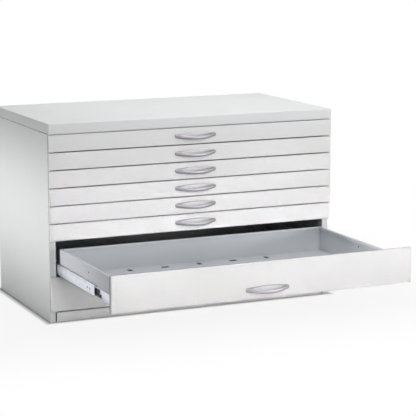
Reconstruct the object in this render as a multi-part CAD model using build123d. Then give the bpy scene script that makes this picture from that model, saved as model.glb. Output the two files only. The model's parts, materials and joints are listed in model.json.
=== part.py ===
from build123d import *
import math
import os

os.makedirs("parts", exist_ok=True)

# A steel plan chest. X is across, Y runs from the drawer fronts (-Y) to the back, Z is up.
# The origin is on the floor, in the middle of the lip on which the plinth strip stands.

# Overall size, shared by the lid and the closed drawer fronts
WIDTH = 1190.0
DEPTH = 650.0
HEIGHT = 760.0

# Sheet steel
CASE_SHEET = 1.2
UPRIGHT_SHEET = 1.5
FRONT_SHEET = 1.0
TRAY_SHEET = 1.0
FOLD_R = 2.0

# Case
LID_H = 38.0
LID_LIP = 18.0
LID_SEAM = 2.0
LID_SEAM_DEPTH = 5.0
PLINTH_H = 37.0
PLINTH_GAP = 8.0
PLINTH_LIP = 15.0
PLINTH_END_GAP = 5.0
BASE_FLANGE = 25.0
BASE_NOTCH = 30.0
SIDE_FLANGE = 21.0
SLIDE_MOUNT = 26.0
UPRIGHT_W = 40.0
TOP_RAIL_H = 11.0
BACK_RECESS = 4.0
BACK_EDGE_GAP = 2.0
BACK_SCREW_ROWS = 5
BACK_SCREW_COLUMNS = 3
BACK_SCREW_MARGIN = 60.0

# Drawer layout, from the top down: shallow fronts one pitch high, deep fronts two
SHALLOW_DRAWERS = 6
DEEP_DRAWERS = 2
DEEP_PITCHES = 2
FRONT_GAP = 4.0
OPEN_DRAWER = 7

# Drawer fronts
FRONT_T = 12.0
FRONT_STANDOFF = 5.0
FRONT_LIP = 12.0

# Drawer trays
TRAY_RISE = 5.0
SHALLOW_WALL = 46.0
DEEP_WALL = 98.0
TRAY_BACK_CLEAR = 6.0
TRAY_RIM = 10.0
TRAY_RIM_LIP = 8.0
SLOT_SPACING = 145.0
SLOTS_PER_ROW = 5
SLOT_INSET = 45.0
SLOT_W = 13.0
LONG_SLOT = 26.0
SHORT_SLOT = 22.0
DIVIDER_HOLE_R = 3.0
DIVIDER_HOLE_DROP = 26.0

# Telescopic ball slides: a case rail, a middle rail and a drawer rail, nested
TRAVEL = 630.0
MIDDLE_SHARE = 0.65
SLIDE_RISE = 26.0
SLIDE_T = 12.7
SLIDE_H = 48.0
SLIDE_SHEET = 1.2
SLIDE_L = 590.0
CASE_RAIL_DEPTH = 9.6
MIDDLE_RAIL_DEPTH = 8.0
DRAWER_RAIL_DEPTH = 7.1
WEB_GAP = 1.6
BALL_GAP = 2.3
RUN_CLEAR = 0.3
CAGE_L = 150.0
CAGE_W = 4.0
CAGE_INSET = 8.0
STOP_L = 12.0
RAIL_START = 10.0
STOP_HOLE_R = 3.0
STOP_HOLE_INSET = 45.0
STOP_HOLE_SPACING = 28.0

# Release levers on the drawer rails
LEVER_L = 42.0
LEVER_T = 4.0
LEVER_SETBACK = 199.0
LEVER_STROKE = 5.5
LEVER_HOOK = 11.0
LEVER_PIVOT_R = 6.0

# Handles: a low bow with a lens-shaped outline
HANDLE_W = 172.0
HANDLE_H = 28.0
HANDLE_REACH = 26.0
HANDLE_RISE = 33.0
HANDLE_BAR_T = 7.0
HANDLE_BAR_H = 14.0
HANDLE_END_T = 5.0
HANDLE_END_H = 16.0
HANDLE_PLATE_T = 3.0
HANDLE_RING = 4.0
HANDLE_FOOT = 14.0
HANDLE_BOSS_R = 4.0
HANDLE_BOSS_INSET = 16.0
HANDLE_BOSS_H = 5.4
HANDLE_SECTIONS = 9

# Screws and rivets
SCREW_R = 2.0
SCREW_HEAD_R = 4.0
SCREW_HEAD_H = 2.2
SCREW_GRIP = 5.0
RIVET_R = 1.6
RIVET_HEAD_R = 3.5
RIVET_HEAD_H = 1.2
RIVET_INSET = 10.0
RIVETS_PER_RAIL = 3
HOLE_CLEAR = 0.1

# Places that follow from the sizes
PITCHES = SHALLOW_DRAWERS + DEEP_DRAWERS * DEEP_PITCHES
PITCH = (HEIGHT - LID_H - PLINTH_H - PLINTH_GAP) / PITCHES
HALF_W = WIDTH / 2
INNER_HALF = HALF_W - CASE_SHEET
CASE_FRONT_Y = -PLINTH_LIP / 2
FRONT_BACK_Y = CASE_FRONT_Y - FRONT_STANDOFF
FACE_Y = FRONT_BACK_Y - FRONT_T
LID_BACK_Y = FACE_Y + DEPTH
CASE_BACK_Y = LID_BACK_Y - BACK_RECESS
FLANGE_IN_Y = CASE_FRONT_Y + CASE_SHEET
BACK_IN_Y = CASE_BACK_Y - CASE_SHEET
SKIRT_Z = HEIGHT - LID_H
CASE_TOP_Z = SKIRT_Z - LID_SEAM
MOUNT_X = HALF_W - SLIDE_MOUNT
TRAY_HALF = MOUNT_X - SLIDE_T
TRAY_BACK_Y = BACK_IN_Y - TRAY_BACK_CLEAR
UPRIGHT_TOP_Z = CASE_TOP_Z - CASE_SHEET - TOP_RAIL_H
CASE_RAIL_Y = FLANGE_IN_Y + STOP_L
MOVING_RAIL_Y = FRONT_BACK_Y + RAIL_START
MIDDLE_H = SLIDE_H - 2 * SLIDE_SHEET - 2 * BALL_GAP
DRAWER_RAIL_H = MIDDLE_H - 2 * SLIDE_SHEET - 2 * BALL_GAP
HOLE_R = SCREW_R + HOLE_CLEAR
RIVET_HOLE_R = RIVET_R + HOLE_CLEAR
REAR_UPRIGHT_Y = BACK_IN_Y - UPRIGHT_W
FRONT_RIVET_Y = FLANGE_IN_Y + UPRIGHT_W - RIVET_INSET
REAR_RIVET_Y = REAR_UPRIGHT_Y + RIVET_INSET


def block(x, y, z):
    """A box from three (low, high) pairs."""
    centre = [(a + b) / 2 for a, b in (x, y, z)]
    return Pos(*centre) * Box(x[1] - x[0], y[1] - y[0], z[1] - z[0])


def rod(x, y, z, radius, axis):
    """A round rod whose axis runs along the one coordinate that is given as a (low, high) pair."""
    low, high = {"x": x, "y": y, "z": z}[axis]
    turn = {"x": Rot(0, 90, 0), "y": Rot(90, 0, 0), "z": Rot(0, 0, 0)}[axis]
    centre = [sum(v) / 2 if isinstance(v, tuple) else v for v in (x, y, z)]
    return Pos(*centre) * turn * Cylinder(radius, high - low)


def flipped(shape):
    """The same piece on the other side of the chest."""
    return mirror(shape, about=Plane.YZ)


def save(name, *solids):
    """Writes one node, as a group when it holds more than one solid."""
    shape = solids[0] if len(solids) == 1 else Compound(children=list(solids))
    export_step(shape, f"parts/{name}.step")


def drawer_place(number):
    """The front's lowest height, its height and the tray's wall height, for drawer 1 (top) to the last."""
    above = min(number - 1, SHALLOW_DRAWERS) + max(number - 1 - SHALLOW_DRAWERS, 0) * DEEP_PITCHES
    deep = number > SHALLOW_DRAWERS
    pitches = DEEP_PITCHES if deep else 1
    top = SKIRT_Z - FRONT_GAP - above * PITCH
    height = pitches * PITCH - FRONT_GAP
    return top - height, height, DEEP_WALL if deep else SHALLOW_WALL


DRAWERS = range(1, SHALLOW_DRAWERS + DEEP_DRAWERS + 1)
SLIDE_HEIGHTS = [drawer_place(number)[0] + SLIDE_RISE for number in DRAWERS]


def back_screw_places():
    """Where the back panel is screwed to the side flanges, the rear top rail and the base."""
    side_x = HALF_W - SIDE_FLANGE / 2
    low, high = BACK_SCREW_MARGIN, CASE_TOP_Z - BACK_SCREW_MARGIN
    rows = [low + (high - low) * i / (BACK_SCREW_ROWS - 1) for i in range(BACK_SCREW_ROWS)]
    places = [(side * side_x, z) for side in (-1, 1) for z in rows]
    step = WIDTH / (BACK_SCREW_COLUMNS + 1)
    columns = [-HALF_W + step * (i + 1) for i in range(BACK_SCREW_COLUMNS)]
    top_z = CASE_TOP_Z - CASE_SHEET - TOP_RAIL_H / 2
    base_z = PLINTH_H - BASE_FLANGE / 2
    return places + [(x, z) for x in columns for z in (top_z, base_z)]


def back_screw_holes():
    """Rods through the back panel and what lies in front of it."""
    reach = (BACK_IN_Y - 2 * UPRIGHT_SHEET, CASE_BACK_Y + 2 * CASE_SHEET)
    return [rod(x, reach, z, HOLE_R, "y") for x, z in back_screw_places()]


def side_panel():
    """The right side: a folded pan whose flanges turn in at the front, back, top and floor."""
    outside = block((HALF_W - SIDE_FLANGE, HALF_W), (CASE_FRONT_Y, CASE_BACK_Y), (0, CASE_TOP_Z))
    outside = fillet(outside.faces().sort_by(Axis.X)[-1].edges(), FOLD_R)
    inside = block(
        (HALF_W - 2 * SIDE_FLANGE, INNER_HALF),
        (FLANGE_IN_Y, BACK_IN_Y),
        (CASE_SHEET, CASE_TOP_Z - CASE_SHEET),
    )
    return outside - inside - back_screw_holes()


def lid_layer(inset, low_z, high_z):
    """A block as wide and deep as the lid, less an inset all round."""
    half = HALF_W - inset
    return block((-half, half), (FACE_Y + inset, LID_BACK_Y - inset), (low_z, high_z))


def top_panel():
    """The lid: a folded pan whose skirt steps in at its foot, above a lip that lies on the sides."""
    skirt_in_z = SKIRT_Z + CASE_SHEET
    skirt = lid_layer(0, SKIRT_Z, HEIGHT)
    skirt = fillet(skirt.edges(), FOLD_R)
    hollow = lid_layer(CASE_SHEET, skirt_in_z, HEIGHT - CASE_SHEET)
    foot = lid_layer(LID_SEAM_DEPTH, CASE_TOP_Z, skirt_in_z)
    foot_hollow = lid_layer(LID_SEAM_DEPTH + CASE_SHEET, CASE_TOP_Z + CASE_SHEET, skirt_in_z + CASE_SHEET)
    mouth = lid_layer(LID_LIP, CASE_TOP_Z - CASE_SHEET, skirt_in_z)
    return skirt + foot - hollow - foot_hollow - mouth


def back_panel():
    """A flat sheet screwed over the back flanges."""
    half = HALF_W - BACK_EDGE_GAP
    sheet = block(
        (-half, half),
        (CASE_BACK_Y, CASE_BACK_Y + CASE_SHEET),
        (BACK_EDGE_GAP, CASE_TOP_Z - BACK_EDGE_GAP),
    )
    return sheet - back_screw_holes()


def base_panel():
    """The floor of the case, with its edges turned down and its front corners notched."""
    outside = block(
        (-INNER_HALF, INNER_HALF), (FLANGE_IN_Y, BACK_IN_Y), (PLINTH_H - BASE_FLANGE, PLINTH_H)
    )
    under = block(
        (CASE_SHEET - INNER_HALF, INNER_HALF - CASE_SHEET),
        (FLANGE_IN_Y + CASE_SHEET, BACK_IN_Y - CASE_SHEET),
        (PLINTH_H - 2 * BASE_FLANGE, PLINTH_H - CASE_SHEET),
    )
    notch_x = (INNER_HALF - BASE_NOTCH, WIDTH)
    notch = block(notch_x, (CASE_FRONT_Y, FLANGE_IN_Y + BASE_NOTCH), (0, 2 * PLINTH_H))
    return outside - under - notch - flipped(notch) - back_screw_holes()


def plinth_strip():
    """The kick strip between the side flanges, flush with them, with a lip on the floor."""
    half = HALF_W - SIDE_FLANGE - PLINTH_END_GAP
    face = block((-half, half), (CASE_FRONT_Y, FLANGE_IN_Y), (0, PLINTH_H))
    lip = block((-half, half), (CASE_FRONT_Y, CASE_FRONT_Y + PLINTH_LIP), (0, CASE_SHEET))
    return face + lip


def top_rail(front_y):
    """A channel across the case under the lid, open upwards, on top of the uprights."""
    top = CASE_TOP_Z - CASE_SHEET
    outside = block(
        (-INNER_HALF, INNER_HALF), (front_y, front_y + UPRIGHT_W), (UPRIGHT_TOP_Z, top)
    )
    inside = block(
        (-WIDTH, WIDTH),
        (front_y + CASE_SHEET, front_y + UPRIGHT_W - CASE_SHEET),
        (UPRIGHT_TOP_Z + CASE_SHEET, top + CASE_SHEET),
    )
    return outside - inside


def upright(front_y, rivet_y):
    """A right-hand channel that packs the slides out to the side flange's inner line."""
    outside = block(
        (MOUNT_X, INNER_HALF), (front_y, front_y + UPRIGHT_W), (PLINTH_H, UPRIGHT_TOP_Z)
    )
    inside = block(
        (MOUNT_X + UPRIGHT_SHEET, WIDTH),
        (front_y + UPRIGHT_SHEET, front_y + UPRIGHT_W - UPRIGHT_SHEET),
        (0, HEIGHT),
    )
    reach = (MOUNT_X - UPRIGHT_SHEET, MOUNT_X + 2 * UPRIGHT_SHEET)
    holes = [rod(reach, rivet_y, z, RIVET_HOLE_R, "x") for z in SLIDE_HEIGHTS]
    return outside - inside - holes


def channel(web_x, depth, height, start_y, length, z):
    """A rail of C section. Its web lies at web_x and its flanges run depth from there along X."""
    sheet = SLIDE_SHEET
    tip_x = web_x + depth
    inner_x = web_x + math.copysign(sheet, depth)
    past_x = tip_x + math.copysign(sheet, depth)
    ends = (start_y, start_y + length)
    outside = block(tuple(sorted((web_x, tip_x))), ends, (z - height / 2, z + height / 2))
    inside = block(
        tuple(sorted((inner_x, past_x))),
        (start_y - sheet, start_y + length + sheet),
        (z - height / 2 + sheet, z + height / 2 - sheet),
    )
    return outside - inside


def case_rail(z):
    """The right rail that is riveted to the uprights."""
    rail = channel(MOUNT_X, -CASE_RAIL_DEPTH, SLIDE_H, CASE_RAIL_Y, SLIDE_L, z)
    reach = (MOUNT_X - 2 * SLIDE_SHEET, MOUNT_X + SLIDE_SHEET)
    return rail - [rod(reach, y, z, RIVET_HOLE_R, "x") for y in (FRONT_RIVET_Y, REAR_RIVET_Y)]


def case_rivet(y, z):
    """Holds a case rail to an upright: a flat head inside the rail and a shank through both."""
    web_x = MOUNT_X - SLIDE_SHEET
    head = rod((web_x - RIVET_HEAD_H, web_x), y, z, RIVET_HEAD_R, "x")
    shank = rod((web_x, MOUNT_X + UPRIGHT_SHEET), y, z, RIVET_R, "x")
    return head + shank


def end_stop(z):
    """The plastic cap on a case rail's front end, of the same C section."""
    return channel(MOUNT_X, -CASE_RAIL_DEPTH, SLIDE_H, FLANGE_IN_Y, STOP_L, z)


def middle_rail(z, shift):
    """The right middle rail with its stop holes and four ball cages, moved out of the case by shift."""
    web_x = MOUNT_X - SLIDE_SHEET - WEB_GAP
    start = MOVING_RAIL_Y - shift
    rail = channel(web_x, -MIDDLE_RAIL_DEPTH, MIDDLE_H, start, SLIDE_L, z)
    through = (web_x - 2 * SLIDE_SHEET, web_x + SLIDE_SHEET)
    for place in (STOP_HOLE_INSET, STOP_HOLE_INSET + STOP_HOLE_SPACING):
        rail = rail - rod(through, start + place, z, STOP_HOLE_R, "x")
    cage_h = BALL_GAP - RUN_CLEAR
    cage_start_x = web_x - MIDDLE_RAIL_DEPTH + SLIDE_SHEET
    cage_x = (cage_start_x, cage_start_x + CAGE_W)
    front_y = (start + CAGE_INSET, start + CAGE_INSET + CAGE_L)
    back_y = (start + SLIDE_L - CAGE_INSET - CAGE_L, start + SLIDE_L - CAGE_INSET)
    cages = []
    for side in (-1, 1):
        outer_z = sorted((z + side * MIDDLE_H / 2, z + side * (MIDDLE_H / 2 + cage_h)))
        inner_h = MIDDLE_H / 2 - SLIDE_SHEET
        inner_z = sorted((z + side * inner_h, z + side * (inner_h - cage_h)))
        cages.append(block(cage_x, back_y, tuple(outer_z)))
        cages.append(block(cage_x, front_y, tuple(inner_z)))
    return [rail, *cages]


def rail_rivet_places():
    """Where a drawer rail is riveted to the tray wall, along the closed rail."""
    first = MOVING_RAIL_Y + 2 * RIVET_INSET
    span = SLIDE_L - 4 * RIVET_INSET
    return [first + span * i / (RIVETS_PER_RAIL - 1) for i in range(RIVETS_PER_RAIL)]


def drawer_rail(z, shift):
    """The right drawer rail, open towards the case, with the rivets that hold it to the tray."""
    rail = channel(TRAY_HALF, DRAWER_RAIL_DEPTH, DRAWER_RAIL_H, MOVING_RAIL_Y - shift, SLIDE_L, z)
    web_x = TRAY_HALF + SLIDE_SHEET
    rivets = []
    for place in rail_rivet_places():
        y = place - shift
        rail = rail - rod((TRAY_HALF - SLIDE_SHEET, web_x + SLIDE_SHEET), y, z, RIVET_HOLE_R, "x")
        head = rod((web_x, web_x + RIVET_HEAD_H), y, z, RIVET_HEAD_R, "x")
        rivets.append(head + rod((TRAY_HALF - TRAY_SHEET, web_x), y, z, RIVET_R, "x"))
    return [rail, *rivets]


def release_lever(z, shift):
    """The right release lever: a pivot with one arm up and one down, hooked like a letter S."""
    web_x = TRAY_HALF + SLIDE_SHEET
    x = (web_x, web_x + LEVER_T)
    pivot_y = FACE_Y + LEVER_SETBACK + LEVER_L / 2 - shift
    reach = DRAWER_RAIL_H / 2 - SLIDE_SHEET - RUN_CLEAR
    lever = rod(x, pivot_y, z, LEVER_PIVOT_R, "x")
    for side in (-1, 1):
        near = -side * LEVER_STROKE
        far = side * LEVER_L / 2
        tip = far - side * LEVER_STROKE
        strokes = [
            ((near, 0), (0, reach)),
            ((near, far), (reach - LEVER_STROKE, reach)),
            ((tip, far), (reach - LEVER_HOOK, reach)),
        ]
        for along, up in strokes:
            y = tuple(sorted(pivot_y + a for a in along))
            heights = tuple(sorted(z + side * u for u in up))
            lever = lever + block(x, y, heights)
    return lever


def tray(low_z, wall_h, deep, shift):
    """A folded tray: four walls, a rolled rim on three of them and slots in the floor for dividers."""
    y0, y1 = FRONT_BACK_Y - shift, TRAY_BACK_Y - shift
    z0, z1 = low_z + TRAY_RISE, low_z + TRAY_RISE + wall_h
    s, lip_in = TRAY_SHEET, TRAY_RIM - TRAY_SHEET
    body = block((-TRAY_HALF, TRAY_HALF), (y0, y1), (z0, z1))
    hollow = block((s - TRAY_HALF, TRAY_HALF - s), (y0 + s, y1 - s), (z0 + s, z1 - s))
    mouth = block(
        (TRAY_RIM - TRAY_HALF, TRAY_HALF - TRAY_RIM), (y0 + s, y1 - TRAY_RIM), (z1 - 2 * s, z1 + s)
    )
    lip = block(
        (lip_in - TRAY_HALF, TRAY_HALF - lip_in), (y0 + s, y1 - lip_in), (z1 - TRAY_RIM_LIP, z1 - s)
    )
    lip_hole = block(
        (TRAY_RIM - TRAY_HALF, TRAY_HALF - TRAY_RIM), (y0, y1 - TRAY_RIM), (z0, z1)
    )
    body = body - hollow - mouth + (lip - lip_hole)
    cuts = []
    middle = (SLOTS_PER_ROW - 1) / 2
    for row_y in (y0 + SLOT_INSET, y1 - SLOT_INSET):
        for i in range(SLOTS_PER_ROW):
            along_x = i % 2 == 1
            long_x, long_y = (LONG_SLOT, SLOT_W) if along_x else (SLOT_W, SHORT_SLOT)
            x = (i - middle) * SLOT_SPACING
            cuts.append(
                block(
                    (x - long_x / 2, x + long_x / 2),
                    (row_y - long_y / 2, row_y + long_y / 2),
                    (z0 - s, z0 + 2 * s),
                )
            )
    slide_z = low_z + SLIDE_RISE
    for side in (-1, 1):
        wall = tuple(sorted((side * (TRAY_HALF - 2 * s), side * (TRAY_HALF + s))))
        cuts += [rod(wall, y - shift, slide_z, RIVET_HOLE_R, "x") for y in rail_rivet_places()]
        if deep:
            cuts.append(rod(wall, (y0 + y1) / 2, z1 - DIVIDER_HOLE_DROP, DIVIDER_HOLE_R, "x"))
    return body - cuts


def handle_screw_places():
    """How far left and right of the middle the handle's feet are screwed."""
    offset = HANDLE_W / 2 - HANDLE_BOSS_INSET
    return (-offset, offset)


def drawer_front(low_z, height, wall_h, shift):
    """A folded front, whose lips at the back carry the tray's front wall."""
    face, back = FACE_Y - shift, FRONT_BACK_Y - shift
    s = FRONT_SHEET
    front = block((-HALF_W, HALF_W), (face, back), (low_z, low_z + height))
    front = fillet(front.faces().sort_by(Axis.Y)[0].edges(), min(FOLD_R, FRONT_T / 4))
    hollow = block((s - HALF_W, HALF_W - s), (face + s, back - s), (low_z + s, low_z + height - s))
    mouth = block(
        (FRONT_LIP - HALF_W, HALF_W - FRONT_LIP),
        (back - 2 * s, back + s),
        (low_z + FRONT_LIP, low_z + TRAY_RISE + wall_h - FRONT_LIP / 2),
    )
    z = low_z + HANDLE_RISE
    holes = [rod(x, (face - s, face + 2 * s), z, HOLE_R, "y") for x in handle_screw_places()]
    return front - hollow - mouth - holes


def lens(half_w, top, bottom, end_h):
    """A lens-shaped outline with blunt round ends, seen from the front."""
    end_x = half_w - end_h / 2
    with BuildSketch(Plane.XZ) as outline:
        with BuildLine():
            ThreePointArc((-end_x, end_h / 2), (0, top), (end_x, end_h / 2))
            ThreePointArc((end_x, end_h / 2), (half_w, 0), (end_x, -end_h / 2))
            ThreePointArc((end_x, -end_h / 2), (0, bottom), (-end_x, -end_h / 2))
            ThreePointArc((-end_x, -end_h / 2), (-half_w, 0), (-end_x, end_h / 2))
        make_face()
    return outline.sketch


def grip_bar():
    """The bow: an oval section that follows an arc out from the drawer front and swells in its middle."""
    half_chord = (HANDLE_W - HANDLE_FOOT) / 2
    rise = HANDLE_REACH - HANDLE_BAR_T / 2
    radius = (half_chord**2 + rise**2) / (2 * rise)
    half_turn = math.asin(half_chord / radius)
    past_the_front = 1.1
    sections = []
    for i in range(HANDLE_SECTIONS):
        turn = past_the_front * half_turn * (2 * i / (HANDLE_SECTIONS - 1) - 1)
        swell = max(0.0, 1 - (turn / half_turn) ** 2)
        height = HANDLE_END_H + (HANDLE_BAR_H - HANDLE_END_H) * swell
        thick = HANDLE_END_T + (HANDLE_BAR_T - HANDLE_END_T) * swell
        drop = (HANDLE_H - HANDLE_BAR_H) / 2 * swell
        centre = (radius * math.sin(turn), radius - rise - radius * math.cos(turn), -drop)
        along = (math.cos(turn), math.sin(turn), 0)
        section_plane = Plane(origin=centre, x_dir=(0, 0, 1), z_dir=along)
        sections.append(section_plane * Ellipse(height / 2, thick / 2))
    behind = block((-HANDLE_W, HANDLE_W), (0, HANDLE_W), (-HANDLE_W, HANDLE_W))
    return loft(sections) - behind


def handle():
    """The handle, with its back on Y = 0 and its middle on the origin: a lens-shaped ring and the bow."""
    half_w, half_h = HANDLE_W / 2, HANDLE_H / 2
    ring_h = half_h - HANDLE_RING
    plate = extrude(lens(half_w, half_h, -half_h, HANDLE_END_H), amount=HANDLE_PLATE_T)
    window_end_h = HANDLE_END_H - 2 * HANDLE_RING
    window = extrude(lens(half_w - HANDLE_FOOT, ring_h, -ring_h, window_end_h), amount=HANDLE_REACH)
    pull = plate - window + grip_bar()
    for x in handle_screw_places():
        pull = pull + rod(x, (-HANDLE_BOSS_H, 0), 0, HANDLE_BOSS_R, "y")
    return pull


def handle_at(low_z, shift):
    """The handle and its two screws, on a drawer front."""
    z = low_z + HANDLE_RISE
    face = FACE_Y - shift
    inner = face + FRONT_SHEET
    pull = Pos(0, face, z) * handle()
    screws = []
    for x in handle_screw_places():
        pull = pull - rod(x, (face - SCREW_GRIP - HOLE_CLEAR, face + 1), z, HOLE_R, "y")
        head = rod(x, (inner, inner + SCREW_HEAD_H), z, SCREW_HEAD_R, "y")
        screws.append(head + rod(x, (face - SCREW_GRIP, inner), z, SCREW_R, "y"))
    return [pull, *screws]


def build_case():
    """Everything that stands still."""
    right = side_panel()
    save("side_panel_right", right)
    save("side_panel_left", flipped(right))
    save("top_panel", top_panel())
    save("back_panel", back_panel())
    save("base_panel", base_panel())
    save("plinth_strip", plinth_strip())
    rear_rail = top_rail(REAR_UPRIGHT_Y) - back_screw_holes()
    save("top_rails", top_rail(FLANGE_IN_Y), rear_rail)
    rear_upright = upright(REAR_UPRIGHT_Y, REAR_RIVET_Y) - back_screw_holes()
    uprights = [upright(FLANGE_IN_Y, FRONT_RIVET_Y), rear_upright]
    save("slide_uprights", *uprights, *[flipped(u) for u in uprights])
    rails = [case_rail(z) for z in SLIDE_HEIGHTS]
    save("case_slide_rails", *rails, *[flipped(r) for r in rails])
    stops = [end_stop(z) for z in SLIDE_HEIGHTS]
    save("slide_end_stops", *stops, *[flipped(s) for s in stops])
    rivets = [case_rivet(y, z) for z in SLIDE_HEIGHTS for y in (FRONT_RIVET_Y, REAR_RIVET_Y)]
    save("slide_rivets", *rivets, *[flipped(r) for r in rivets])
    back_out = CASE_BACK_Y + CASE_SHEET
    screws = [
        rod(x, (back_out, back_out + SCREW_HEAD_H), z, SCREW_HEAD_R, "y")
        + rod(x, (BACK_IN_Y - UPRIGHT_SHEET, back_out), z, SCREW_R, "y")
        for x, z in back_screw_places()
    ]
    save("back_panel_screws", *screws)


def build_drawer(number):
    """One drawer with both its slides. The open one is drawn out by its full travel."""
    low_z, height, wall_h = drawer_place(number)
    shift = TRAVEL if number == OPEN_DRAWER else 0
    slide_z = low_z + SLIDE_RISE
    name = f"drawer_{number}"
    save(f"{name}_tray", tray(low_z, wall_h, number > SHALLOW_DRAWERS, shift))
    save(f"{name}_front", drawer_front(low_z, height, wall_h, shift))
    save(f"{name}_handle", *handle_at(low_z, shift))
    rails = drawer_rail(slide_z, shift)
    save(f"{name}_slide_rails", *rails, *[flipped(r) for r in rails])
    lever = release_lever(slide_z, shift)
    save(f"{name}_release_levers", lever, flipped(lever))
    middle = middle_rail(slide_z, shift * MIDDLE_SHARE)
    save(f"{name}_middle_rails", *middle, *[flipped(m) for m in middle])


build_case()
for drawer_number in DRAWERS:
    build_drawer(drawer_number)
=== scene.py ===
import json
import math

import bmesh
import bpy
from mathutils import Euler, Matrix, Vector

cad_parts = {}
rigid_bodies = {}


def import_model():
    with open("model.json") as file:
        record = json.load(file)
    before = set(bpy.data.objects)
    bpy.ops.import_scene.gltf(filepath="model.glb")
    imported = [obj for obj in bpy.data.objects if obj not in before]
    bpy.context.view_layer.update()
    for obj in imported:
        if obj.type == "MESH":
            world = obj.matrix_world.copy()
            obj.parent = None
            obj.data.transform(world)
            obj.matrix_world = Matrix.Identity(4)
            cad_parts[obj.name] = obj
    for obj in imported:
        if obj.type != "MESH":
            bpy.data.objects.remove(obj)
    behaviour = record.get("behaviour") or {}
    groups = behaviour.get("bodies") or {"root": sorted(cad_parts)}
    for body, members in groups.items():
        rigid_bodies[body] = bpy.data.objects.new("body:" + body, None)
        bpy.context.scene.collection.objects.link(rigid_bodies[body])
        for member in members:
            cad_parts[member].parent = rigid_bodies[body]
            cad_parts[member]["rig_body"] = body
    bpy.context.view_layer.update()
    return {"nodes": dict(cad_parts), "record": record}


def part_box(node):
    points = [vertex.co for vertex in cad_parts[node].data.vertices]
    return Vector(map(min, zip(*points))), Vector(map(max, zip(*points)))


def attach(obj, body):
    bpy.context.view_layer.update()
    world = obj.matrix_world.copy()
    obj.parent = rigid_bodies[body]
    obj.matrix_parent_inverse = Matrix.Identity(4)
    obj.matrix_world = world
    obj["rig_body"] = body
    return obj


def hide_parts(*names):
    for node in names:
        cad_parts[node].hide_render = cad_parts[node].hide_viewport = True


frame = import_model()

# A light grey steel plan chest with one deep drawer pulled out.
# Metres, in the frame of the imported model: X across, Y from the drawer fronts to the back, Z up,
# with the origin on the floor in the middle of the plinth strip's lip.
NODES = frame["nodes"]
DRAWERS = [f"drawer_{number}" for number in range(1, 9)]
DEEP_DRAWERS = DRAWERS[6:]
SLOTS = {part["node"]: part["material_slot"] for part in frame["record"]["subparts"]}
MM = 0.001

# How far sharp edges are eased, and the angles that count as an edge, as flat and as smooth
PAINTED_EASE = 0.35 * MM
MOULDED_EASE = 0.6 * MM
EASE_ANGLE = math.radians(30)
FLAT_ANGLE = math.radians(1)
SHEET_SMOOTH_ANGLE = math.radians(15)
HANDLE_SMOOTH_ANGLE = math.radians(38)
FASTENER_SMOOTH_ANGLE = math.radians(40)
RAIL_SMOOTH_ANGLE = math.radians(50)
MERGE_DISTANCE = 0.001 * MM

# Rolled slide rails. A profile point is its depth from the upright and its height above the slide's
# middle, both in millimetres, from the tip of the upper flange to the middle of the web.
RAIL_SHEET = 1.2 * MM
RAIL_BEND = 1.2
BEND_STEPS = 4
BEND_REACH = 0.45
DRILL_LENGTH = 80 * MM
DRILL_SEGMENTS = 20
CASE_RAIL = [
    (9.0, 21.7), (9.0, 23.4), (0.6, 23.4), (0.6, 15.5), (1.3, 14.3), (1.3, 11.7), (0.6, 10.5), (0.6, 0.0),
]
MIDDLE_RAIL = [
    (10.2, 18.5), (10.2, 19.9), (5.0, 19.9), (3.4, 17.8),
    (3.4, 15.0), (5.5, 14.1), (5.5, 12.4), (3.4, 11.5), (3.4, 0.0),
]
DRAWER_RAIL = [(6.2, 15.0), (6.2, 16.4), (12.1, 16.4), (12.1, 0.0)]
STOP_HOLE_R = 3.0 * MM
STOP_HOLES = (45 * MM, 73 * MM)
MOUNT_HOLE_R = 1.7 * MM
MOUNT_HOLES = [(40 + 12 * i) * MM for i in range(7)]

# Ball cages, at both ends of the middle rails' flanges
BALL_R = 1.1 * MM
BALL_PITCH = 7.5 * MM
BALL_FACES = (10, 6)
CAGE_L = 150 * MM
CAGE_INSET = 8 * MM
CAGE_SHEET = 0.5 * MM
OUTER_RACE = {"depth": (5.6 * MM, 8.2 * MM), "ball_depth": 7.2 * MM, "height": 21.65 * MM}
INNER_RACE = {"depth": (5.8 * MM, 9.4 * MM), "ball_depth": 7.6 * MM, "height": 18.15 * MM}

# Screws, rivets, plugs and buffers: four sizes of each, and how far the head stands out from its seat
FASTENER_SIZES = ("Head Radius", "Head Height", "Shank Radius", "Tail Radius")
SCREW = dict(zip(FASTENER_SIZES, (4.0 * MM, 2.2 * MM, 2.0 * MM, 2.0 * MM)))
RIVET = dict(zip(FASTENER_SIZES, (3.5 * MM, 1.1 * MM, 1.6 * MM, 2.4 * MM)))
PLUG = dict(zip(FASTENER_SIZES, (3.8 * MM, 1.0 * MM, 2.9 * MM, 3.4 * MM)))
BUFFER = dict(zip(FASTENER_SIZES, (4.2 * MM, 0.4 * MM, 2.9 * MM, 3.4 * MM)))
SCREW_SEAT = 2.2 * MM
RIVET_SEAT = 1.2 * MM
TAIL_HEIGHT = 0.4 * MM
SHANK_SIDES = 16
DOME_FACES = (20, 12)
RECESS_REACH = 1.1
RECESS_WIDTH = 0.26
PLUG_DROP = 26 * MM
TRAY_SHEET = 1.0 * MM

# Black caps in the slots of the trays' floors; their black paints the shade inside the slots. Every
# second slot lies across, and those between are shorter.
CAP = {
    "Length": 26 * MM,
    "Width": 13 * MM,
    "Corner": 2.5 * MM,
    "Rim": 1.5 * MM,
    "Rise": 0.9 * MM,
    "Depth": 2.6 * MM,
}
CAP_SUNK = 0.9
SLOTS_PER_ROW = 5
SLOT_SPACING = 145 * MM
SLOT_INSET = 45 * MM
SHORT_SHARE = 22 / 26

# Black strips round the backs of the drawer fronts, clear of the trays and of the case. They are no seal:
# their black paints the shade in the gaps between the fronts and beside the case.
GAP_SHADE_WIDTH = 4.0 * MM
GAP_SHADE_DEPTH = 4.5 * MM
GAP_SHADE_INSET = 0.3 * MM

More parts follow.
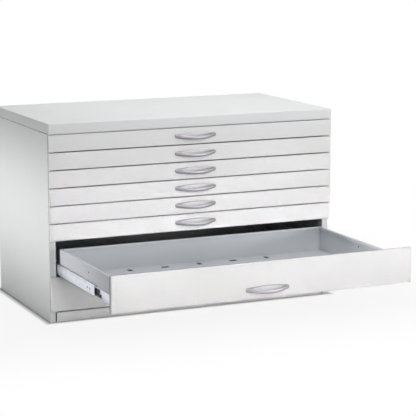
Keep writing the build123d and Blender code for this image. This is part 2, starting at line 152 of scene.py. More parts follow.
# The viewpoint, to which the chest turns its left front corner. The angles are in radians.
CAMERA_PLACE = (-2.5224, -5.6984, 1.5204)
CAMERA_YAW = 0.42617
CAMERA_PITCH = -0.17831
CAMERA_LENS = 140.343

# Studio: the light of the world, and a floor that is grey near the chest and white away from it
WORLD_LIGHT = 0.12
FLOOR_RADIUS = 40.0
FLOOR_GREY = 0.35
FLOOR_WHITE = 0.9
FLOOR_ROUGHNESS = 0.9
FLOOR_GLOSS = 0.1
SHADOW_EDGE = 0.03
SHADOW_END = 0.9

# Softboxes: place, aim, width and height in metres, power in watts, and spread in degrees
SOFTBOXES = {
    "overhead": ((0.3, 0.1, 2.6), (0.1, 0.2, 0.7), (1.8, 1.2), 28, 180),
    "front right": ((4.8, -7.0, 0.8), (0.1, -0.2, 0.3), (3.4, 1.2), 236, 180),
    "front high": ((-0.7, -8.5, 5.2), (0.0, -0.3, 0.4), (3.8, 1.9), 232, 180),
    "front low": ((0.3, -8.0, 0.4), (0.3, -0.3, 0.3), (3.0, 0.1), 1.5, 7),
    "left": ((-4.0, 1.25, 0.4), (-0.6, 0.35, 0.39), (1.4, 0.3), 2.04, 17),
    "behind": ((0.8, 4.0, 0.4), (0.0, 0.6, 0.35), (2.0, 0.6), 45, 180),
    "right": ((4.2, 1.2, 0.4), (0.6, 0.3, 0.35), (1.4, 0.6), 30, 180),
}


def add(tree, kind, sockets=None, **properties):
    """A new node of a tree. Each socket is given a value, or the output that feeds it."""
    made = tree.nodes.new(kind)
    for name, value in properties.items():
        setattr(made, name, value)
    for name, value in (sockets or {}).items():
        if isinstance(value, bpy.types.NodeSocket):
            tree.links.new(value, made.inputs[name])
        else:
            made.inputs[name].default_value = value
    return made


class Finish:
    """A procedural material: its surface shader and the patterns that feed it."""

    def __init__(self, name, colour, roughness, **sockets):
        self.material = bpy.data.materials.new(name)
        self.material.use_nodes = True
        self.tree = self.material.node_tree
        self.shader = self.tree.nodes["Principled BSDF"]
        self.colour = colour
        self.shader.inputs["Base Color"].default_value = (*colour, 1.0)
        self.shader.inputs["Roughness"].default_value = roughness
        for socket, value in sockets.items():
            self.shader.inputs[socket.replace("_", " ")].default_value = value
        self.place = add(self.tree, "ShaderNodeTexCoord").outputs["Object"]

    def noise(self, scale, detail=2.0, stretch=None):
        """Noise about 0.5, with its coordinates scaled by stretch."""
        place = self.place
        if stretch:
            mapping = add(self.tree, "ShaderNodeMapping", {"Vector": place, "Scale": stretch})
            place = mapping.outputs["Vector"]
        sockets = {"Vector": place, "Scale": scale, "Detail": detail}
        return add(self.tree, "ShaderNodeTexNoise", sockets).outputs["Fac"]

    def spread(self, source, low, high):
        """Noise, which stays near its middle, spread out from low to high."""
        sockets = {"Value": source, "From Min": 0.3, "From Max": 0.7, "To Min": low, "To Max": high}
        return add(self.tree, "ShaderNodeMapRange", sockets).outputs["Result"]

    def tint(self, source, low, high):
        """The colour, times a factor that goes from low to high with the source."""
        shades = [tuple(min(1.0, c * factor) for c in self.colour) for factor in (low, high)]
        ramp = add(self.tree, "ShaderNodeValToRGB", {"Fac": self.spread(source, 0, 1)})
        for stop, shade in zip(ramp.color_ramp.elements, shades):
            stop.color = (*shade, 1.0)
        self.tree.links.new(ramp.outputs["Color"], self.shader.inputs["Base Color"])

    def rough(self, source, low, high):
        """Roughness that goes from low to high with the source."""
        self.tree.links.new(self.spread(source, low, high), self.shader.inputs["Roughness"])

    def bump(self, source, depth):
        """Relief of that depth, on top of any relief that is there."""
        made = add(self.tree, "ShaderNodeBump", {"Height": source, "Distance": depth})
        under = self.shader.inputs["Normal"].links
        if under:
            self.tree.links.new(under[0].from_socket, made.inputs["Normal"])
        self.tree.links.new(made.outputs["Normal"], self.shader.inputs["Normal"])


def powder_coat(name, colour, roughness=0.42):
    """Baked powder paint: a fine pebbled skin, with slow faint changes in shade and gloss."""
    paint = Finish(name, colour, roughness, Specular_IOR_Level=0.45)
    paint.tint(paint.noise(2.5, detail=1.0), 0.985, 1.01)
    paint.rough(paint.noise(9.0), roughness - 0.04, roughness + 0.05)
    paint.bump(paint.noise(900.0, detail=1.0), 0.03 * MM)
    paint.bump(paint.noise(260.0, detail=0.0), 0.04 * MM)
    return paint.material


def zinc_plate(name, colour, roughness, along=(60, 1, 60)):
    """Bright plated steel with fine lines the way it was rolled, and a faint cloudy bloom."""
    plate = Finish(name, colour, roughness, Metallic=1.0)
    plate.tint(plate.noise(30.0, detail=3.0), 0.9, 1.06)
    plate.rough(plate.noise(40.0, stretch=along), roughness - 0.07, roughness + 0.08)
    plate.bump(plate.noise(60.0, stretch=along), 0.02 * MM)
    return plate.material


def satin_metal(name, colour, roughness):
    """Cast metal with a silver satin coat: tiny speckle, faint unevenness in gloss."""
    metal = Finish(name, colour, roughness, Metallic=0.9)
    metal.tint(metal.noise(1400.0, detail=1.0), 0.94, 1.05)
    metal.rough(metal.noise(70.0), roughness - 0.05, roughness + 0.06)
    metal.bump(metal.noise(1100.0, detail=1.0), 0.015 * MM)
    return metal.material


def moulded_plastic(name, colour, roughness):
    """Black moulded plastic with a fine spark-eroded grain."""
    plastic = Finish(name, colour, roughness)
    plastic.tint(plastic.noise(500.0), 0.8, 1.25)
    plastic.rough(plastic.noise(120.0), roughness - 0.06, roughness + 0.08)
    plastic.bump(plastic.noise(1600.0, detail=1.0), 0.03 * MM)
    return plastic.material


FINISHES = {
    "case_paint": powder_coat("case powder coat", (0.79, 0.795, 0.80)),
    "front_paint": powder_coat("front powder coat", (0.80, 0.80, 0.795)),
    # The trays' coat is a darker, cooler grey than the case's: painted shade for the insides of the
    # trays.
    "tray_paint": powder_coat("tray powder coat with painted shade", (0.68, 0.70, 0.73), roughness=0.38),
    "slide_zinc": zinc_plate("bright zinc plate", (0.70, 0.72, 0.78), 0.3),
    "screw_zinc": zinc_plate("dull zinc plate", (0.58, 0.59, 0.61), 0.36, along=(20, 20, 20)),
    "handle_metal": satin_metal("satin silver", (0.33, 0.32, 0.34), 0.42),
    "black_plastic": moulded_plastic("black plastic", (0.018, 0.018, 0.02), 0.5),
}


def finished(name, mesh, body, slot, *nodes):
    """A piece that rides on a body, takes its finish from a slot and stands for the CAD nodes named."""
    piece = bpy.data.objects.get(name) or bpy.data.objects.new(name, mesh)
    piece.data = mesh
    if piece.name not in bpy.context.scene.collection.objects:
        bpy.context.scene.collection.objects.link(piece)
    mesh.materials.clear()
    mesh.materials.append(FINISHES[slot])
    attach(piece, body)
    if nodes:
        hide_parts(*nodes)
    return piece


def evaluated_mesh(piece):
    """The plain mesh that an object's modifiers make. The modifiers are then removed."""
    graph = bpy.context.evaluated_depsgraph_get()
    mesh = bpy.data.meshes.new_from_object(piece.evaluated_get(graph))
    piece.modifiers.clear()
    return mesh


def temporary(name, mesh):
    """An object to hold modifiers for a while."""
    piece = bpy.data.objects.new(name, mesh)
    bpy.context.scene.collection.objects.link(piece)
    return piece


def body_of(node):
    """The body that a CAD node moves with."""
    return NODES[node]["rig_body"]


def merged(node):
    """A CAD node's surface as one joined mesh, with its triangles welded where they meet."""
    shell = bmesh.new()
    shell.from_mesh(NODES[node].data)
    bmesh.ops.remove_doubles(shell, verts=shell.verts, dist=MERGE_DISTANCE)
    return shell


def eased(node, ease):
    """A copy of a CAD node with its sharp edges eased. It takes the node's place."""
    shell = merged(node)
    bmesh.ops.dissolve_limit(shell, angle_limit=FLAT_ANGLE, verts=shell.verts, edges=shell.edges)
    mesh = bpy.data.meshes.new(node + "_eased")
    shell.to_mesh(mesh)
    shell.free()
    mesh.shade_smooth()
    piece = temporary(node + "_eased", mesh)
    bevel = piece.modifiers.new("eased edges", "BEVEL")
    bevel.width = ease
    bevel.segments = 2
    bevel.limit_method = "ANGLE"
    bevel.angle_limit = EASE_ANGLE
    bevel.use_clamp_overlap = True
    result = evaluated_mesh(piece)
    result.set_sharp_from_angle(angle=SHEET_SMOOTH_ANGLE)
    finished(piece.name, result, body_of(node), SLOTS[node], node)


def smoothed(node, angle):
    """A joined copy of a CAD node that is shaded smooth, apart from edges sharper than the angle."""
    shell = merged(node)
    mesh = bpy.data.meshes.new(node + "_smooth")
    shell.to_mesh(mesh)
    shell.free()
    mesh.shade_smooth()
    mesh.set_sharp_from_angle(angle=angle)
    finished(node + "_smooth", mesh, body_of(node), SLOTS[node], node)


def solids(node):
    """The lowest and highest corner of each separate solid of a CAD node."""
    shell = merged(node)
    seen = set()
    boxes = []
    for start in shell.verts:
        if start in seen:
            continue
        seen.add(start)
        front, places = [start], []
        while front:
            vert = front.pop()
            places.append(vert.co)
            for edge in vert.link_edges:
                other = edge.other_vert(vert)
                if other not in seen:
                    seen.add(other)
                    front.append(other)
        low = Vector([min(place[i] for place in places) for i in range(3)])
        high = Vector([max(place[i] for place in places) for i in range(3)])
        boxes.append((low, high))
    shell.free()
    return boxes


def bent(path, bend):
    """A path of 2-D points with each inner corner rounded."""
    points = [Vector(point) for point in path]
    rounded = [points[0]]
    for before, corner, after in zip(points, points[1:], points[2:]):
        reach = min(bend, *(BEND_REACH * (point - corner).length for point in (before, after)))
        start = corner + reach * (before - corner).normalized()
        end = corner + reach * (after - corner).normalized()
        for step in range(BEND_STEPS + 1):
            t = step / BEND_STEPS
            rounded.append((1 - t) ** 2 * start + 2 * t * (1 - t) * corner + t**2 * end)
    return rounded + [points[-1]]


def sheet_outline(path, sheet):
    """The closed outline of sheet metal that follows a path."""
    sides = ([], [])
    for i, point in enumerate(path):
        steps = [path[j + 1] - path[j] for j in (i - 1, i) if 0 <= j < len(path) - 1]
        along = sum((step.normalized() for step in steps), Vector((0, 0))).normalized()
        across = Vector((-along.y, along.x))
        square = Vector((-steps[0].y, steps[0].x)).normalized()
        reach = sheet / 2 / across.dot(square)
        for side, sign in zip(sides, (1, -1)):
            side.append(point + sign * reach * across)
    return sides[0] + sides[1][::-1]


def rail_mesh(name, half_profile, length, holes=(), hole_r=0.0):
    """A rolled rail from Y 0 backwards. X is the depth from the upright, and Z 0 the slide's middle."""
    lower = [(depth, -height) for depth, height in half_profile[-2::-1]]
    path = bent(half_profile + lower, RAIL_BEND)
    outline = sheet_outline([point * MM for point in path], RAIL_SHEET)
    shape = bmesh.new()
    ends = [[shape.verts.new((p.x, y, p.y)) for p in outline] for y in (0, length)]
    count = len(outline)
    for i in range(count):
        j = (i + 1) % count
        shape.faces.new((ends[0][i], ends[0][j], ends[1][j], ends[1][i]))
    for end in ends:
        shape.faces.new(end)
    bmesh.ops.recalc_face_normals(shape, faces=shape.faces)
    mesh = bpy.data.meshes.new(name)
    shape.to_mesh(mesh)
    shape.free()
    if holes:
        mesh = pierced(name, mesh, holes, hole_r)
    mesh.shade_smooth()
    mesh.set_sharp_from_angle(angle=RAIL_SMOOTH_ANGLE)
    return mesh


def pierced(name, mesh, places, radius):
    """The mesh with round holes along X, at those distances behind its front end."""
    cutter = bmesh.new()
    for y in places:
        size = {"radius1": radius, "radius2": radius, "depth": DRILL_LENGTH}
        rod = bmesh.ops.create_cone(cutter, cap_ends=True, segments=DRILL_SEGMENTS, **size)["verts"]
        bmesh.ops.rotate(cutter, verts=rod, matrix=Euler((0, math.pi / 2, 0)).to_matrix())
        bmesh.ops.translate(cutter, verts=rod, vec=(0, y, 0))
    cutter_mesh = bpy.data.meshes.new(name + " cutter")
    cutter.to_mesh(cutter_mesh)
    cutter.free()
    drill = temporary(name + " drill", cutter_mesh)
    work = temporary(name + " work", mesh)
    cut = work.modifiers.new("holes", "BOOLEAN")
    cut.object = drill
    cut.solver = "EXACT"
    result = evaluated_mesh(work)
    bpy.data.objects.remove(work)
    bpy.data.objects.remove(drill)
    return result


def pair(name, right_mesh, mount_x, y, heights):
    """Copies of a rail on both sides of the chest, at each of the heights, as one mesh."""
    both = bmesh.new()
    for side in (1, -1):
        for z in heights:
            start = len(both.verts)
            both.from_mesh(right_mesh)
            both.verts.ensure_lookup_table()
            for vert in both.verts[start:]:
                depth, along, height = vert.co
                vert.co = (side * (mount_x - depth), y + along, z + height)
    bmesh.ops.recalc_face_normals(both, faces=both.faces)
    mesh = bpy.data.meshes.new(name)
    both.to_mesh(mesh)
    both.free()
    mesh.shade_smooth()
    mesh.set_sharp_from_angle(angle=RAIL_SMOOTH_ANGLE)
    return mesh


def geometry_tree(name, sizes):
    """An empty tree with named size inputs and a material input."""
    tree = bpy.data.node_groups.new(name, "GeometryNodeTree")
    face = tree.interface
    face.new_socket("Geometry", in_out="INPUT", socket_type="NodeSocketGeometry")
    for size in sizes:
        face.new_socket(size, in_out="INPUT", socket_type="NodeSocketFloat")
    face.new_socket("Material", in_out="INPUT", socket_type="NodeSocketMaterial")
    face.new_socket("Geometry", in_out="OUTPUT", socket_type="NodeSocketGeometry")
    return tree, add(tree, "NodeGroupInput").outputs


def end_tree(tree, given, instances):
    """Closes a tree: its instances become plain faces with the given material."""
    plain = add(tree, "GeometryNodeRealizeInstances", {"Geometry": instances})
    sockets = {"Geometry": plain.outputs["Geometry"], "Material": given["Material"]}
    painted = add(tree, "GeometryNodeSetMaterial", sockets)
    smooth = add(tree, "GeometryNodeSetShadeSmooth", {0: painted.outputs["Geometry"]})
    add(tree, "NodeGroupOutput", {"Geometry": smooth.outputs[0]})


def together(tree, *parts):
    """Several shapes as one."""
    joined = add(tree, "GeometryNodeJoinGeometry")
    for part in parts:
        tree.links.new(part, joined.inputs["Geometry"])
    return joined.outputs["Geometry"]


def stored(tree, name):
    """A vector that the seed mesh holds for each of its points."""
    sockets = {"Name": name}
    made = add(tree, "GeometryNodeInputNamedAttribute", sockets, data_type="FLOAT_VECTOR")
    return made.outputs["Attribute"]


def ball_tree():
    """Steel balls at a steady pitch along each edge of the seed mesh."""
    tree, given = geometry_tree("ball row", ("Pitch", "Radius"))
    line = add(tree, "GeometryNodeMeshToCurve", {"Mesh": given["Geometry"]})
    points = add(tree, "GeometryNodeCurveToPoints", {"Curve": line.outputs["Curve"]}, mode="LENGTH")
    tree.links.new(given["Pitch"], points.inputs["Length"])
    sockets = {"Segments": BALL_FACES[0], "Rings": BALL_FACES[1], "Radius": given["Radius"]}
    ball = add(tree, "GeometryNodeMeshUVSphere", sockets)
    sockets = {"Points": points.outputs["Points"], "Instance": ball.outputs["Mesh"]}
    end_tree(tree, given, add(tree, "GeometryNodeInstanceOnPoints", sockets).outputs["Instances"])
    return tree


def fastener_tree(name, recessed):
    """A domed head, a shank and an upset tail at each seed point, head first along its facing."""
    tree, given = geometry_tree(name, (*FASTENER_SIZES, "Length"))

    def times(value, factor):
        sockets = {0: value, 1: factor}
        return add(tree, "ShaderNodeMath", sockets, operation="MULTIPLY").outputs["Value"]

    def vector(x, y, z):
        return add(tree, "ShaderNodeCombineXYZ", {"X": x, "Y": y, "Z": z}).outputs["Vector"]

    def moved(mesh, place):
        return add(tree, "GeometryNodeTransform", {"Geometry": mesh, "Translation": place}).outputs[0]

    def rod(radius, depth):
        sockets = {"Vertices": SHANK_SIDES, "Radius": radius, "Depth": depth}
        return add(tree, "GeometryNodeMeshCylinder", sockets).outputs["Mesh"]

    sockets = {"Segments": DOME_FACES[0], "Rings": DOME_FACES[1], "Radius": 1.0}
    ball = add(tree, "GeometryNodeMeshUVSphere", sockets)
    scale = vector(given["Head Radius"], given["Head Radius"], given["Head Height"])
    dome = add(tree, "GeometryNodeTransform", {"Geometry": ball.outputs["Mesh"], "Scale": scale})
    wide = times(given["Head Radius"], 3.0)
    under = add(tree, "GeometryNodeMeshCube", {"Size": vector(wide, wide, wide)}).outputs["Mesh"]
    cutters = [moved(under, vector(0.0, 0.0, times(wide, -0.5)))]
    if recessed:
        arm = times(given["Head Radius"], RECESS_REACH)
        blade = times(given["Head Radius"], RECESS_WIDTH)
        height = given["Head Height"]
        for size in (vector(arm, blade, height), vector(blade, arm, height)):
            bar = add(tree, "GeometryNodeMeshCube", {"Size": size}).outputs["Mesh"]
            cutters.append(moved(bar, vector(0.0, 0.0, height)))
    head = dome.outputs["Geometry"]
    for cutter in cutters:
        sockets = {"Mesh 1": head, "Mesh 2": cutter}
        head = add(tree, "GeometryNodeMeshBoolean", sockets, operation="DIFFERENCE").outputs["Mesh"]
    shank = rod(given["Shank Radius"], given["Length"])
    shank = moved(shank, vector(0.0, 0.0, times(given["Length"], -0.5)))
    tail = rod(given["Tail Radius"], TAIL_HEIGHT)
    tail = moved(tail, vector(0.0, 0.0, times(given["Length"], -1.0)))
    sockets = {"Vector": stored(tree, "facing")}
    turn = add(tree, "FunctionNodeAlignRotationToVector", sockets, axis="Z")
    sockets = {
        "Points": add(tree, "GeometryNodeMeshToPoints", {"Mesh": given["Geometry"]}).outputs["Points"],
        "Instance": together(tree, head, shank, tail),
        "Rotation": turn.outputs["Rotation"],
    }
    end_tree(tree, given, add(tree, "GeometryNodeInstanceOnPoints", sockets).outputs["Instances"])
    return tree


def cap_tree():
    """A cap at each seed point: a body that fills a slot, and a rim round it that lies on the floor."""
    tree, given = geometry_tree("slot shade cap", tuple(CAP))

    def outline(overlap):
        """A rectangle with rounded corners, that much wider all round than the slot."""
        sides = []
        for side in (given["Length"], given["Width"]):
            sockets = {0: overlap, 1: 2.0, 2: side}
            longer = add(tree, "ShaderNodeMath", sockets, operation="MULTIPLY_ADD")
            sides.append(longer.outputs["Value"])
        sockets = {"Width": sides[0], "Height": sides[1]}
        quad = add(tree, "GeometryNodeCurvePrimitiveQuadrilateral", sockets, mode="RECTANGLE")
        sockets = {"Curve": quad.outputs["Curve"], "Count": 4, "Radius": given["Corner"]}
        return add(tree, "GeometryNodeFilletCurve", sockets, mode="POLY").outputs["Curve"]

    def raised(curves, height):
        """A closed plate over the area between the curves, up to that height."""
        area = add(tree, "GeometryNodeFillCurve", {"Curve": together(tree, *curves)}).outputs["Mesh"]
        sockets = {"Mesh": area, "Offset Scale": height, "Individual": False}
        top = add(tree, "GeometryNodeExtrudeMesh", sockets, mode="FACES").outputs["Mesh"]
        under = add(tree, "GeometryNodeFlipFaces", {"Mesh": area}).outputs["Mesh"]
        sockets = {"Geometry": together(tree, top, under), "Distance": MERGE_DISTANCE}
        return add(tree, "GeometryNodeMergeByDistance", sockets).outputs["Geometry"]

    rim = raised([outline(given["Rim"]), outline(0.0)], given["Rise"])
    body = raised([outline(0.0)], given["Depth"])
    sockets = {0: given["Depth"], 1: -CAP_SUNK}
    drop = add(tree, "ShaderNodeMath", sockets, operation="MULTIPLY").outputs["Value"]
    place = add(tree, "ShaderNodeCombineXYZ", {"Z": drop}).outputs["Vector"]
    sockets = {"Geometry": body, "Translation": place}
    body = add(tree, "GeometryNodeTransform", sockets).outputs["Geometry"]
    turn = add(tree, "FunctionNodeEulerToRotation", {"Euler": stored(tree, "turn")})
    sockets = {
        "Points": add(tree, "GeometryNodeMeshToPoints", {"Mesh": given["Geometry"]}).outputs["Points"],
        "Instance": together(tree, rim, body),
        "Rotation": turn.outputs["Rotation"],
        "Scale": stored(tree, "stretch"),
    }
    end_tree(tree, given, add(tree, "GeometryNodeInstanceOnPoints", sockets).outputs["Instances"])
    return tree


BALLS = ball_tree()
CAPS = cap_tree()
DOMED = fastener_tree("domed fastener", recessed=False)
CROSS = fastener_tree("cross recess fastener", recessed=True)


def grown(name, seed, tree, slot, body, sizes, *nodes):
    """What a tree makes from a seed mesh, as a finished piece."""
    piece = temporary(name, seed)
    modifier = piece.modifiers.new(tree.name, "NODES")
    modifier.node_group = tree
    values = {**sizes, "Material": FINISHES[slot]}
    for socket in tree.interface.items_tree:
        if socket.in_out == "INPUT" and socket.name in values:
            modifier[socket.identifier] = values[socket.name]
    mesh = evaluated_mesh(piece)
    mesh.set_sharp_from_angle(angle=FASTENER_SMOOTH_ANGLE)
    return finished(name, mesh, body, slot, *nodes)


def fasteners(name, seats, tree, slot, body, sizes, *nodes):
    """Screws or rivets. A seat is the place under the head and the way that the head faces."""
    seed = bpy.data.meshes.new(name)
    seed.from_pydata([place for place, facing in seats], [], [])
    facing = seed.attributes.new("facing", "FLOAT_VECTOR", "POINT")
    for item, seat in zip(facing.data, seats):
        item.vector = seat[1]
    return grown(name, seed, tree, slot, body, sizes, *nodes)


def side_seats(boxes, head_inwards):
    """Where rivets along X seat their heads, from the boxes of their solids, and their length."""
    seats = []
    for low, high in boxes:
        middle = (low + high) / 2
        side = 1 if middle.x > 0 else -1
        way = -side if head_inwards else side
        end = high.x if way > 0 else low.x
        seats.append(((end - way * RIVET_SEAT, middle.y, middle.z), (way, 0, 0)))
    return seats, boxes[0][1].x - boxes[0][0].x - RIVET_SEAT


def build_painted_sheet():
    """The case, the drawer fronts and the trays."""
    for node, slot in SLOTS.items():
        if slot.endswith("_paint"):
            eased(node, PAINTED_EASE)


def build_moulded_parts():
    """The release levers and the end stops, with eased edges, and the smooth handles."""
    for node, slot in SLOTS.items():
        if slot == "black_plastic":
            eased(node, MOULDED_EASE if node.endswith("levers") else PAINTED_EASE)
        if slot == "handle_metal":
            smoothed(node, HANDLE_SMOOTH_ANGLE)


def build_case_slides():
    """The rails and rivets that stay in the case, and the screws of the back panel."""
    low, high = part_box("case_slide_rails")
    heights = [slide_middle(drawer) for drawer in DRAWERS]
    rail = rail_mesh("case rail", CASE_RAIL, high.y - low.y)
    mesh = pair("case_rails_rolled", rail, high.x, low.y, heights)
    finished("case_rails_rolled", mesh, "case", "slide_zinc", "case_slide_rails")
    seats, length = side_seats(solids("slide_rivets"), head_inwards=True)
    sizes = {**RIVET, "Length": length}
    fasteners("case_rail_rivets", seats, DOMED, "screw_zinc", "case", sizes, "slide_rivets")
    boxes = solids("back_panel_screws")
    seats = []
    for low, high in boxes:
        middle = (low + high) / 2
        seats.append(((middle.x, high.y - SCREW_SEAT, middle.z), (0, 1, 0)))
    sizes = {**SCREW, "Length": boxes[0][1].y - boxes[0][0].y - SCREW_SEAT}
    fasteners("back_screws", seats, CROSS, "screw_zinc", "case", sizes, "back_panel_screws")


def slide_middle(drawer):
    """The height of the middle of a drawer's slides."""
    low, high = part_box(drawer + "_slide_rails")
    return (low.z + high.z) / 2


def cage_lines(race, mount_x, start_y, z):
    """The two ends of each ball row of a race: right and left, upper and lower."""
    rows = []
    for side in (1, -1):
        for up in (1, -1):
            x = side * (mount_x - race["ball_depth"])
            height = z + up * race["height"]
            rows.append([(x, y, height) for y in (start_y + BALL_R, start_y + CAGE_L - BALL_R)])
    return rows


def cage_strips(shape, race, mount_x, start_y, z):
    """The thin strips that hold the balls of a race apart."""
    for side in (1, -1):
        for up in (1, -1):
            near, far = race["depth"]
            x = side * (mount_x - (near + far) / 2)
            place = (x, start_y + CAGE_L / 2, z + up * race["height"])
            verts = bmesh.ops.create_cube(shape, size=1.0)["verts"]
            bmesh.ops.scale(shape, verts=verts, vec=(far - near, CAGE_L, CAGE_SHEET))
            bmesh.ops.translate(shape, verts=verts, vec=place)


def build_drawer_slides(mount_x):
    """Each drawer's moving rails, with their balls, rivets and stop buffers."""
    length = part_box("drawer_1_slide_rails")[1].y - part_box("drawer_1_slide_rails")[0].y
    middle_rail = rail_mesh("middle rail", MIDDLE_RAIL, length, STOP_HOLES, STOP_HOLE_R)
    drawer_rail = rail_mesh("drawer rail", DRAWER_RAIL, length, MOUNT_HOLES, MOUNT_HOLE_R)
    for drawer in DRAWERS:
        z = slide_middle(drawer)
        rails, middles = drawer + "_slide_rails", drawer + "_middle_rails"
        mesh = pair(drawer + "_rails_rolled", drawer_rail, mount_x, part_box(rails)[0].y, [z])
        finished(drawer + "_rails_rolled", mesh, drawer, "slide_zinc", rails)
        rivets = [box for box in solids(rails) if box[1].y - box[0].y < length / 2]
        seats, rivet_length = side_seats(rivets, head_inwards=False)
        sizes = {**RIVET, "Length": rivet_length}
        fasteners(drawer + "_rail_rivets", seats, DOMED, "screw_zinc", drawer, sizes)

        start_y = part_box(middles)[0].y
        mesh = pair(drawer + "_middles_rolled", middle_rail, mount_x, start_y, [z])
        finished(drawer + "_middles_rolled", mesh, drawer + "_middle", "slide_zinc", middles)
        web = mount_x - MIDDLE_RAIL[-1][0] * MM + RAIL_SHEET / 2
        seats = [((side * web, start_y + y, z), (side, 0, 0)) for side in (1, -1) for y in STOP_HOLES]
        sizes = {**BUFFER, "Length": RAIL_SHEET}
        name = drawer + "_stop_buffers"
        fasteners(name, seats, DOMED, "black_plastic", drawer + "_middle", sizes)
        races = [
            (INNER_RACE, start_y + CAGE_INSET),
            (OUTER_RACE, start_y + length - CAGE_INSET - CAGE_L),
        ]
        strips = bmesh.new()
        lines = []
        for race, race_y in races:
            cage_strips(strips, race, mount_x, race_y, z)
            lines += cage_lines(race, mount_x, race_y, z)
        mesh = bpy.data.meshes.new(drawer + "_ball_cages")
        strips.to_mesh(mesh)
        strips.free()
        finished(drawer + "_ball_cages", mesh, drawer + "_middle", "slide_zinc")
        seed = bpy.data.meshes.new(drawer + "_balls")
        places = [place for line in lines for place in line]
        seed.from_pydata(places, [(2 * i, 2 * i + 1) for i in range(len(lines))], [])
        sizes = {"Pitch": BALL_PITCH, "Radius": BALL_R}
        grown(drawer + "_balls", seed, BALLS, "slide_zinc", drawer + "_middle", sizes)


def build_divider_plugs():
    """The black plugs in the side walls of the deep trays."""
    for drawer in DEEP_DRAWERS:
        low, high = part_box(drawer + "_tray")
        y, z = (low.y + high.y) / 2, high.z - PLUG_DROP
        seats = [((side * (high.x - TRAY_SHEET), y, z), (-side, 0, 0)) for side in (1, -1)]
        sizes = {**PLUG, "Length": TRAY_SHEET}
        fasteners(drawer + "_divider_plugs", seats, DOMED, "black_plastic", drawer, sizes)


def build_slot_shade_caps():
    """The black caps in the floor slots of every tray, at the front and the back; their black paints the
    shade inside the slots.
    """
    for drawer in DRAWERS:
        low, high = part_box(drawer + "_tray")
        seed = bpy.data.meshes.new(drawer + "_slot_shade_caps")
        middle = (SLOTS_PER_ROW - 1) / 2
        rows = (low.y + SLOT_INSET, high.y - SLOT_INSET)
        z = low.z + TRAY_SHEET
        places = [((i - middle) * SLOT_SPACING, y, z) for y in rows for i in range(SLOTS_PER_ROW)]
        seed.from_pydata(places, [], [])
        turn = seed.attributes.new("turn", "FLOAT_VECTOR", "POINT")
        stretch = seed.attributes.new("stretch", "FLOAT_VECTOR", "POINT")
        for i in range(len(places)):
            place_in_row = i % SLOTS_PER_ROW
            across = place_in_row % 2 == 1
            turn.data[i].vector = (0, 0, 0 if across else math.pi / 2)
            stretch.data[i].vector = (1 if across else SHORT_SHARE, 1, 1)
        # Black caps that paint the shade inside the slots.
        grown(drawer + "_slot_shade_caps", seed, CAPS, "black_plastic", drawer, CAP)


def build_gap_shade_strips():
    """A black strip round the back of each drawer front: painted shade that darkens the gaps between the
    fronts and beside the case.
    """
    for drawer in DRAWERS:
        low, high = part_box(drawer + "_front")
        shape = bmesh.new()
        rings = []
        for y in (high.y, high.y + GAP_SHADE_DEPTH):
            for inset in (GAP_SHADE_INSET, GAP_SHADE_INSET + GAP_SHADE_WIDTH):
                x0, x1, z0, z1 = low.x + inset, high.x - inset, low.z + inset, high.z - inset
                corners = ((x0, z0), (x1, z0), (x1, z1), (x0, z1))
                rings.append([shape.verts.new((x, y, z)) for x, z in corners])
        outer_front, inner_front, outer_back, inner_back = rings
        round_trip = (outer_front, inner_front, inner_back, outer_back, outer_front)
        for first, second in zip(round_trip, round_trip[1:]):
            for i in range(4):
                j = (i + 1) % 4
                shape.faces.new((first[i], first[j], second[j], second[i]))
        bmesh.ops.recalc_face_normals(shape, faces=shape.faces)
        mesh = bpy.data.meshes.new(drawer + "_gap_shade_strip")
        shape.to_mesh(mesh)
        shape.free()
        # The strip is black to paint the shade in the gaps round the front.
        finished(drawer + "_gap_shade_strip", mesh, drawer, "black_plastic")


def build_softboxes():
    """The studio's lamps, which the camera doesn't see."""
    for name, (place, aim, size, power, spread) in SOFTBOXES.items():
        lamp = bpy.data.lights.new(name, "AREA")
        lamp.shape = "RECTANGLE"
        lamp.size, lamp.size_y = size
        lamp.energy = power
        lamp.spread = math.radians(spread)
        made = bpy.data.objects.new(name, lamp)
        made.location = place
        made.rotation_euler = (Vector(aim) - made.location).to_track_quat("-Z", "Y").to_euler()
        made.visible_camera = False
        bpy.context.scene.collection.objects.link(made)


def seen_directly(tree):
    """1 for rays from the camera, from gloss and through glass, and 0 for the light on the chest."""
    rays = add(tree, "ShaderNodeLightPath").outputs
    sockets = {0: rays["Is Camera Ray"], 1: rays["Is Glossy Ray"]}
    either = add(tree, "ShaderNodeMath", sockets, operation="MAXIMUM")
    sockets = {0: either.outputs["Value"], 1: rays["Is Transmission Ray"]}
    return add(tree, "ShaderNodeMath", sockets, operation="MAXIMUM").outputs["Value"]


def build_world():
    """White where it is seen, and a soft even light on the chest."""
    world = bpy.data.worlds.new("studio")
    world.use_nodes = True
    tree = world.node_tree
    sockets = {"Value": seen_directly(tree), "To Min": WORLD_LIGHT, "To Max": 1.0}
    strength = add(tree, "ShaderNodeMapRange", sockets)
    background = tree.nodes["Background"]
    background.inputs["Color"].default_value = (1, 1, 1, 1)
    tree.links.new(strength.outputs["Result"], background.inputs["Strength"])
    bpy.context.scene.world = world


def outside_footprint(tree, low, high):
    """How far a place on the floor is outside a rectangle, and negative inside it."""
    middle, half = (low + high) / 2, (high - low) / 2
    place = add(tree, "ShaderNodeTexCoord").outputs["Object"]
    sockets = {0: place, 1: (middle.x, middle.y, 0)}
    across = add(tree, "ShaderNodeVectorMath", sockets, operation="SUBTRACT").outputs["Vector"]
    across = add(tree, "ShaderNodeVectorMath", {0: across}, operation="ABSOLUTE").outputs["Vector"]
    sockets = {0: across, 1: (half.x, half.y, 0)}
    outside = add(tree, "ShaderNodeVectorMath", sockets, operation="SUBTRACT").outputs["Vector"]
    axes = add(tree, "ShaderNodeSeparateXYZ", {"Vector": outside}).outputs
    sockets = {0: axes["X"], 1: axes["Y"]}
    return add(tree, "ShaderNodeMath", sockets, operation="MAXIMUM").outputs["Value"]


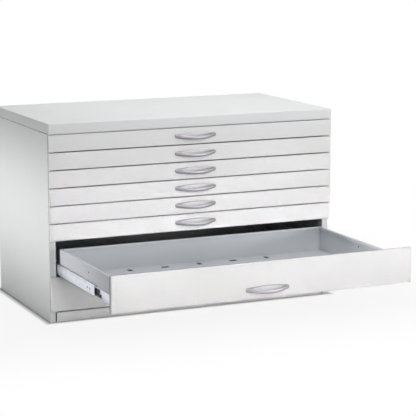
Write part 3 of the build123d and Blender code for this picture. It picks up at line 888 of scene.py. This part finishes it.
def build_floor():
    """A plain pale floor that turns as white as the world away from the chest."""
    mesh = bpy.data.meshes.new("floor")
    r = FLOOR_RADIUS
    mesh.from_pydata([(-r, -r, 0), (r, -r, 0), (r, r, 0), (-r, r, 0)], [], [(0, 1, 2, 3)])
    floor = temporary("floor", mesh)
    material = bpy.data.materials.new("pale floor")
    material.use_nodes = True
    tree = material.node_tree
    shader = tree.nodes["Principled BSDF"]
    shader.inputs["Base Color"].default_value = (*[FLOOR_GREY] * 3, 1)
    shader.inputs["Roughness"].default_value = FLOOR_ROUGHNESS
    shader.inputs["Specular IOR Level"].default_value = FLOOR_GLOSS
    distance = outside_footprint(tree, *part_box("base_panel"))
    sockets = {"Value": distance, "From Min": 0.0, "From Max": SHADOW_EDGE, "To Max": FLOOR_WHITE}
    near = add(tree, "ShaderNodeMapRange", sockets).outputs["Result"]
    sockets = {
        "Value": distance, "From Min": SHADOW_EDGE, "From Max": SHADOW_END, "To Max": 1.0 - FLOOR_WHITE
    }
    far = add(tree, "ShaderNodeMapRange", sockets, interpolation_type="SMOOTHSTEP").outputs["Result"]
    fade = add(tree, "ShaderNodeMath", {0: near, 1: far}, operation="ADD").outputs["Value"]
    sockets = {0: fade, 1: seen_directly(tree)}
    whiteness = add(tree, "ShaderNodeMath", sockets, operation="MULTIPLY").outputs["Value"]
    glow = add(tree, "ShaderNodeEmission").outputs["Emission"]
    mix = add(tree, "ShaderNodeMixShader", {0: whiteness, 1: shader.outputs["BSDF"], 2: glow})
    tree.links.new(mix.outputs["Shader"], tree.nodes["Material Output"].inputs["Surface"])
    mesh.materials.append(material)


def build_camera():
    """The photograph's viewpoint."""
    camera = bpy.data.objects.new("camera", bpy.data.cameras.new("camera"))
    camera.data.lens = CAMERA_LENS
    camera.data.clip_end = 200.0
    camera.location = CAMERA_PLACE
    camera.rotation_euler = Euler((math.pi / 2 + CAMERA_PITCH, 0, -CAMERA_YAW))
    bpy.context.scene.collection.objects.link(camera)
    bpy.context.scene.camera = camera


build_painted_sheet()
build_moulded_parts()
build_case_slides()
build_drawer_slides(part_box("case_slide_rails")[1].x)
build_divider_plugs()
build_slot_shade_caps()
build_gap_shade_strips()
build_world()
build_floor()
build_softboxes()
build_camera()

bpy.context.scene.view_settings.view_transform = "Standard"
